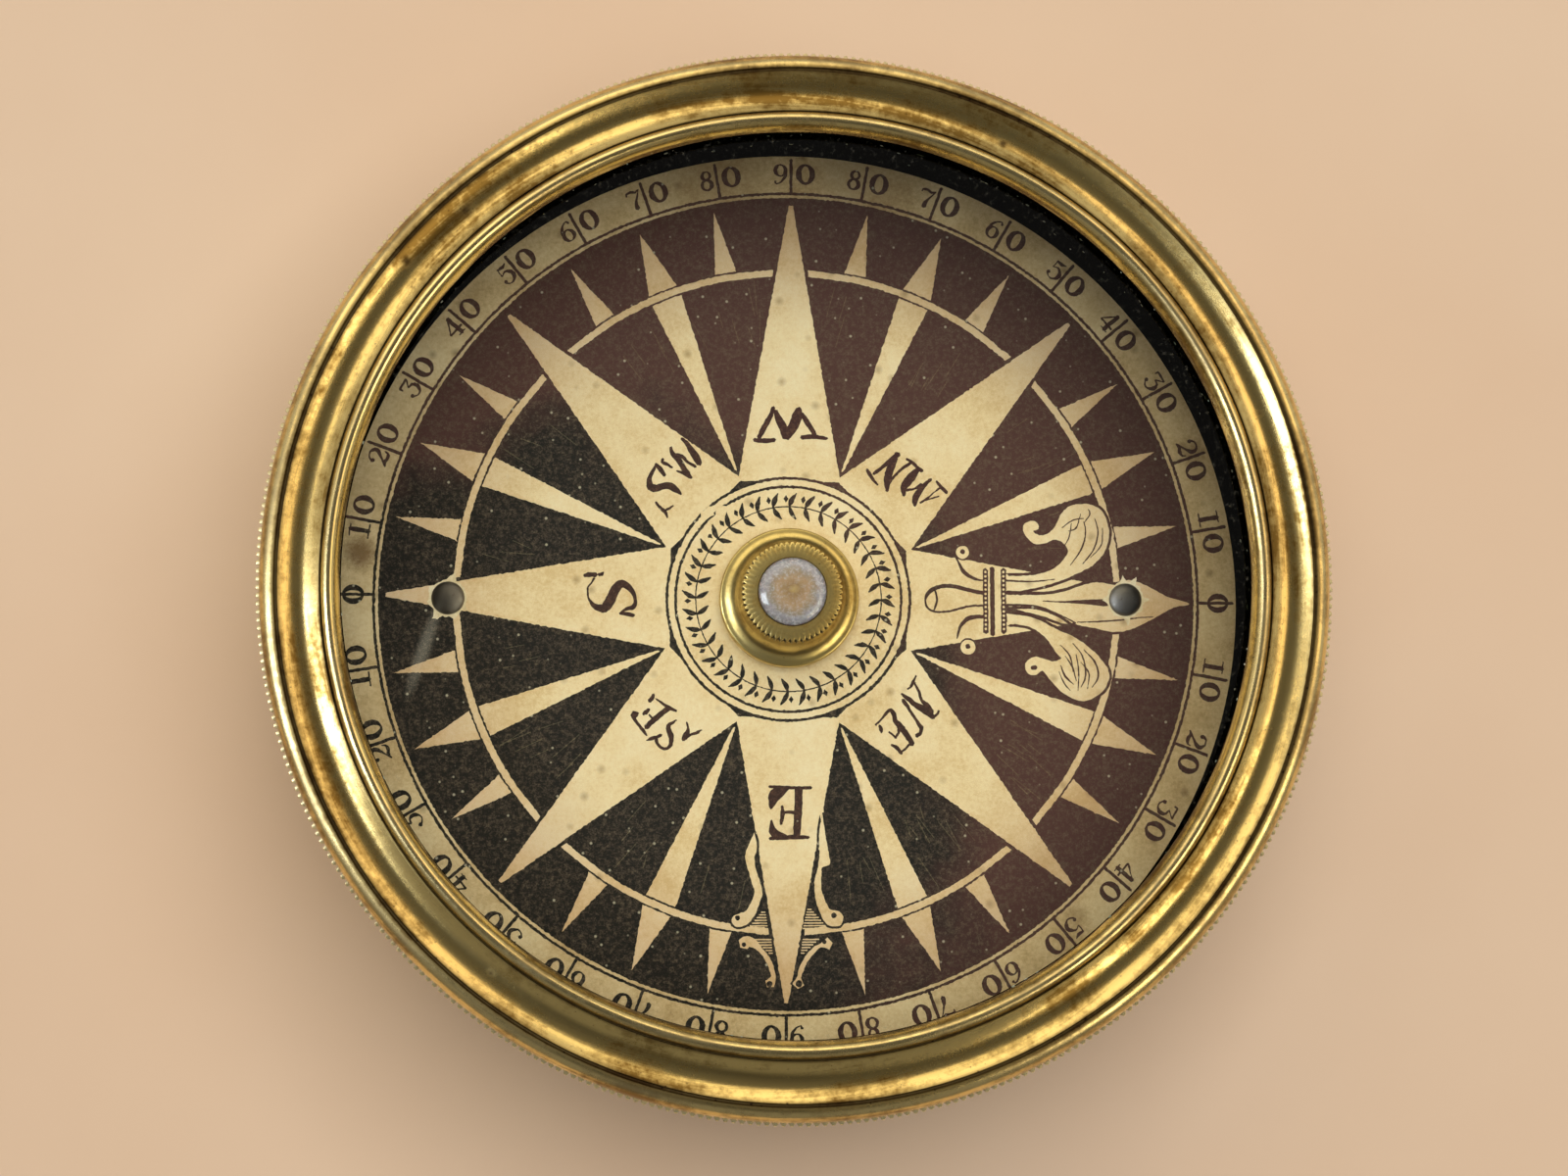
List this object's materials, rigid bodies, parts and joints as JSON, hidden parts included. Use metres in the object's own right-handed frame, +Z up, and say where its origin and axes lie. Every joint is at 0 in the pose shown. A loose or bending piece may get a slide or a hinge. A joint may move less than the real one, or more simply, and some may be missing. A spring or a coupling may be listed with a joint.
{
  "type": "pocket compass",
  "caption": "Dry-card pocket compass in a turned brass drum case with a milled screw bezel, flat glass and a printed star card on a bar needle.",
  "frame": {"origin": "middle of the underside of the base plate", "axes": "+Z up through the pivot and out of the glass; +X towards north on the card at rest"},
  "size_m": [0.064, 0.064, 0.0204],
  "materials": {
    "case_brass": "turned, aged and handled, satin",
    "bezel_brass": "turned and polished, tarnished in the hollow",
    "fitting_brass": "turned, dull brown patina",
    "cap_brass": "turned and milled, satin",
    "needle_steel": "hardened, blued, magnetised bar",
    "pin_steel": "hardened and ground",
    "rivet_steel": "dull grey, oxidised",
    "printed_paper": "aged cream laid paper with black wood-cut print",
    "pasteboard": "pasted board, brown",
    "agate": "polished cloudy agate",
    "window_glass": "clear flat glass, faintly green at the edge",
    "gasket_paper": "blackened paper ring"
  },
  "bodies": {
    "case": {"case_base": "case_brass", "case_wall": "case_brass", "pivot_plug": "fitting_brass", "pivot_lock_nut": "fitting_brass", "pivot_pin": "pin_steel"},
    "card": {"card_paper": "printed_paper", "card_disc": "pasteboard", "needle": "needle_steel", "needle_rivet_north": "rivet_steel", "needle_rivet_south": "rivet_steel", "rivet_washer_north": "fitting_brass", "rivet_washer_south": "fitting_brass", "cap_body": "cap_brass", "cap_washer": "fitting_brass", "cap_nut": "fitting_brass", "cap_jewel": "agate"},
    "glass": {"glass_pane": "window_glass", "glass_gasket": "gasket_paper"},
    "bezel": {"bezel": "bezel_brass", "glass_retaining_ring": "fitting_brass"}
  },
  "joints": [
    {"name": "card_spin", "type": "hinge", "parent": "case", "child": "card", "pos_m": [0, 0, 0.0108], "axis": [0, 0, 1], "continuous": true},
    {"name": "glass_lift", "type": "slide", "parent": "case", "child": "glass", "axis": [0, 0, 1], "range_m": [0, 0.003]},
    {"name": "bezel_turn", "type": "hinge", "parent": "glass", "child": "bezel", "pos_m": [0, 0, 0.0169], "axis": [0, 0, 1], "range_deg": [0, 1440]}
  ],
  "couplings": [
    {"joint": "glass_lift", "follows": "bezel_turn", "m_per_rad": 0.00011937}
  ]
}
